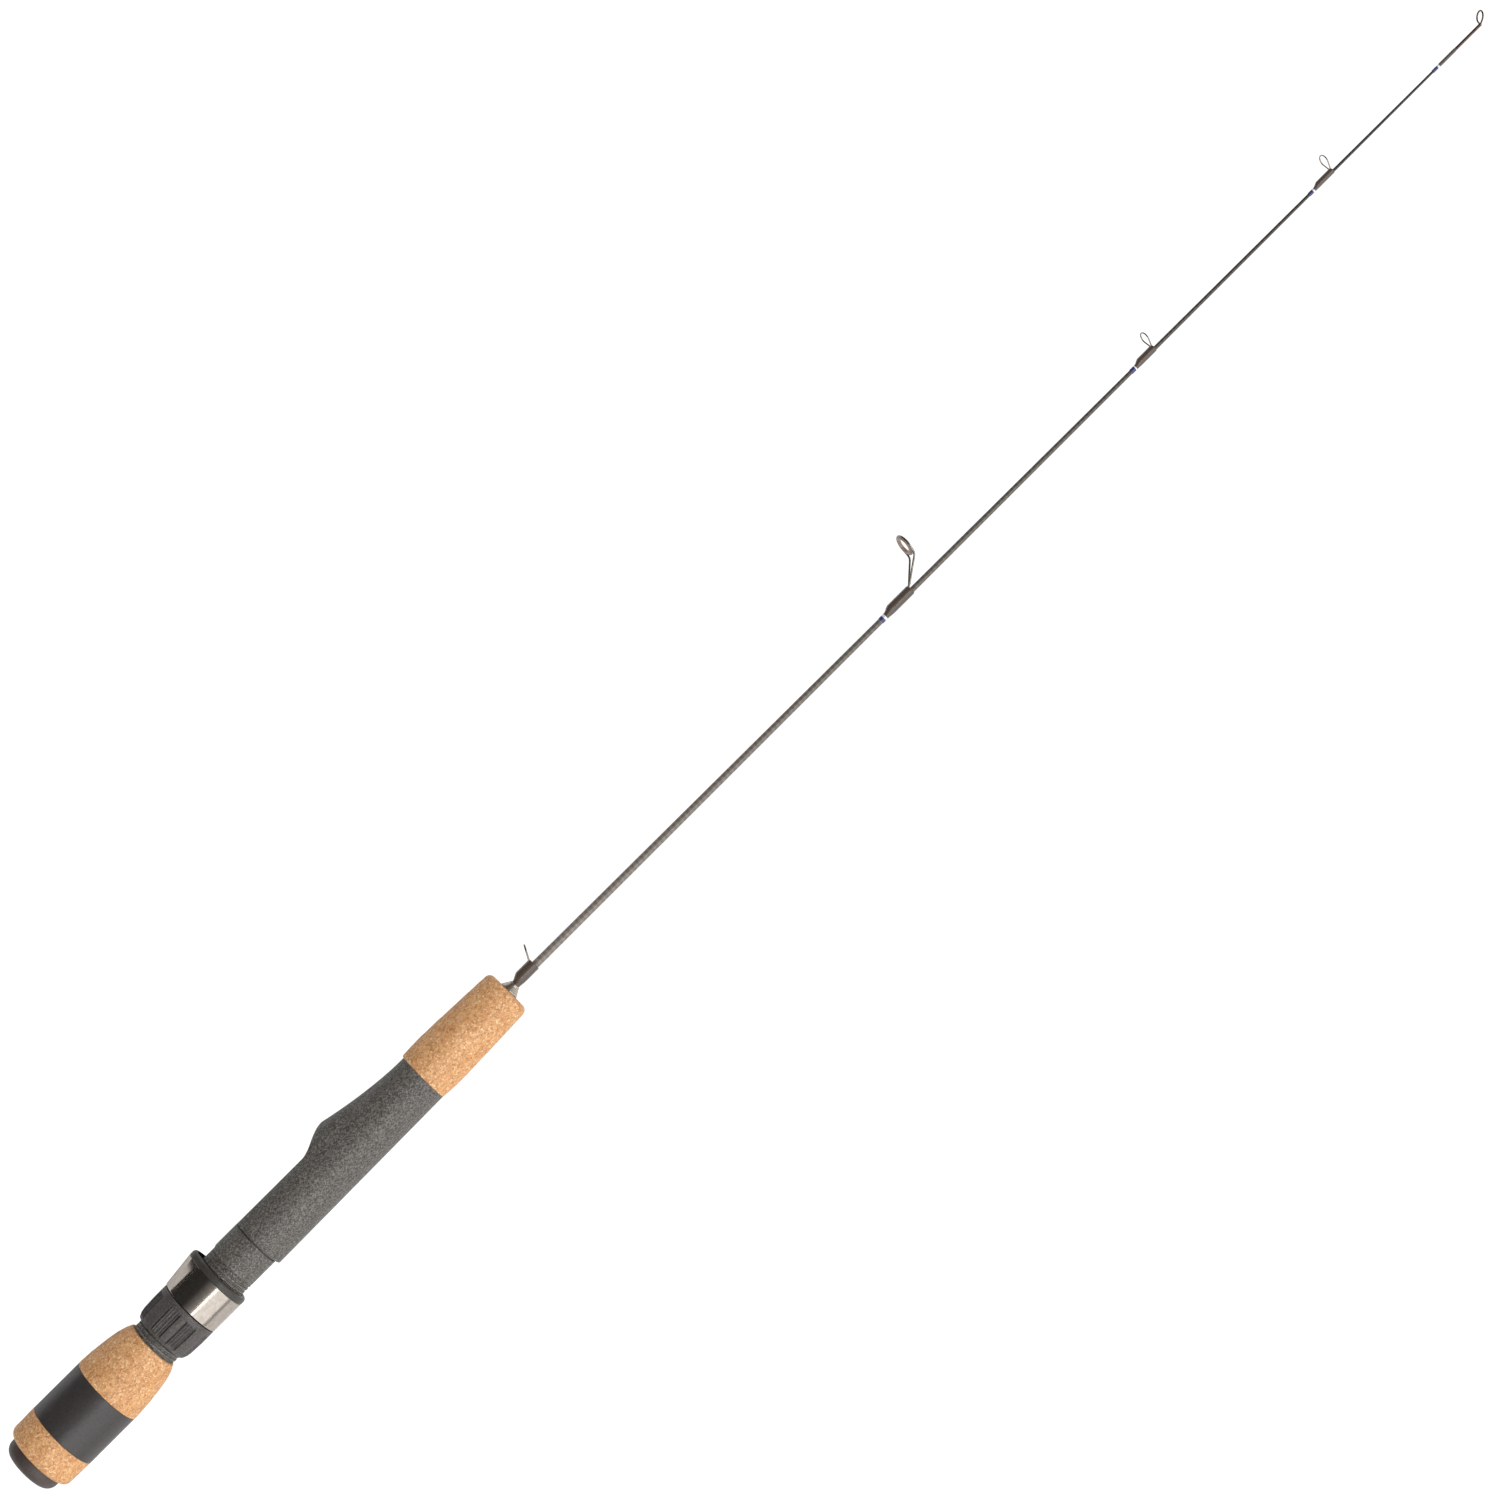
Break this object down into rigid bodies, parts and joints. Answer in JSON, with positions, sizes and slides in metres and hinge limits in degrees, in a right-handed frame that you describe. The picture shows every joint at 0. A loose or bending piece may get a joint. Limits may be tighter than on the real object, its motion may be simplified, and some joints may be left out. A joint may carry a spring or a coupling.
{
  "type": "ice fishing rod",
  "caption": "Short ice fishing rod with a tapered blank, cork handle, threaded reel seat whose lock nut drives a sliding hood, wire line guides and a wire tip loop.",
  "frame": {"origin": "centre of the butt cap's flat end face, on the rod's axis", "axes": "+X along the rod from butt to tip; +Y towards the guides and the reel; +Z completes the frame, up when the rod lies on its side"},
  "size_m": [0.7091, 0.0299, 0.0264],
  "materials": {
    "foam": "matte moulded rubber, black",
    "cork": "pressed cork granules, satin",
    "band": "fine-textured black foam",
    "graphite_seat": "dark grey moulded graphite with a fine cross texture",
    "arbor": "pale foam bushing",
    "graphite_nut": "dark grey moulded graphite",
    "hood_metal": "polished stainless steel",
    "liner": "dark plastic",
    "check": "grey satin",
    "blank": "dark graphite under clear gloss",
    "wire": "polished stainless wire",
    "wrap": "dark brown thread under clear epoxy",
    "ring": "glossy dark ceramic",
    "trim_blue": "blue thread under clear epoxy",
    "trim_silver": "silver thread under clear epoxy",
    "tip_metal": "dark plated steel"
  },
  "bodies": {
    "root": {"butt_cap": "foam", "rear_cork": "cork", "grip_band": "band", "front_cork": "cork", "reel_seat": "graphite_seat", "arbor_rear": "arbor", "arbor_front": "arbor", "foregrip": "cork", "winding_check": "check", "blank": "blank", "hook_keeper": "wire", "keeper_wrap": "wrap", "guide_1_frame": "wire", "guide_1_ring": "ring", "guide_1_wrap": "wrap", "guide_1_blue_trim": "trim_blue", "guide_1_silver_trim": "trim_silver", "guide_2_loop": "wire", "guide_2_wrap": "wrap", "guide_2_blue_trim": "trim_blue", "guide_2_silver_trim": "trim_silver", "guide_3_loop": "wire", "guide_3_wrap": "wrap", "guide_3_blue_trim": "trim_blue", "guide_3_silver_trim": "trim_silver", "tip_tube": "tip_metal", "tip_loop": "tip_metal", "tip_wrap": "wrap", "tip_blue_trim": "trim_blue", "tip_silver_trim": "trim_silver"},
    "hood": {"hood_shell": "hood_metal", "hood_liner": "liner"},
    "nut": {"lock_nut": "graphite_nut"}
  },
  "joints": [
    {"name": "hood_slide", "type": "slide", "parent": "root", "child": "hood", "axis": [1, 0, 0], "range_m": [-0.0033, 0.0159]},
    {"name": "nut_spin", "type": "hinge", "parent": "hood", "child": "nut", "pos_m": [0.0682, 0, 0], "axis": [1, 0, 0], "range_deg": [-792, 3816]}
  ],
  "couplings": [
    {"joint": "hood_slide", "follows": "nut_spin", "m_per_rad": 0.00023873}
  ]
}
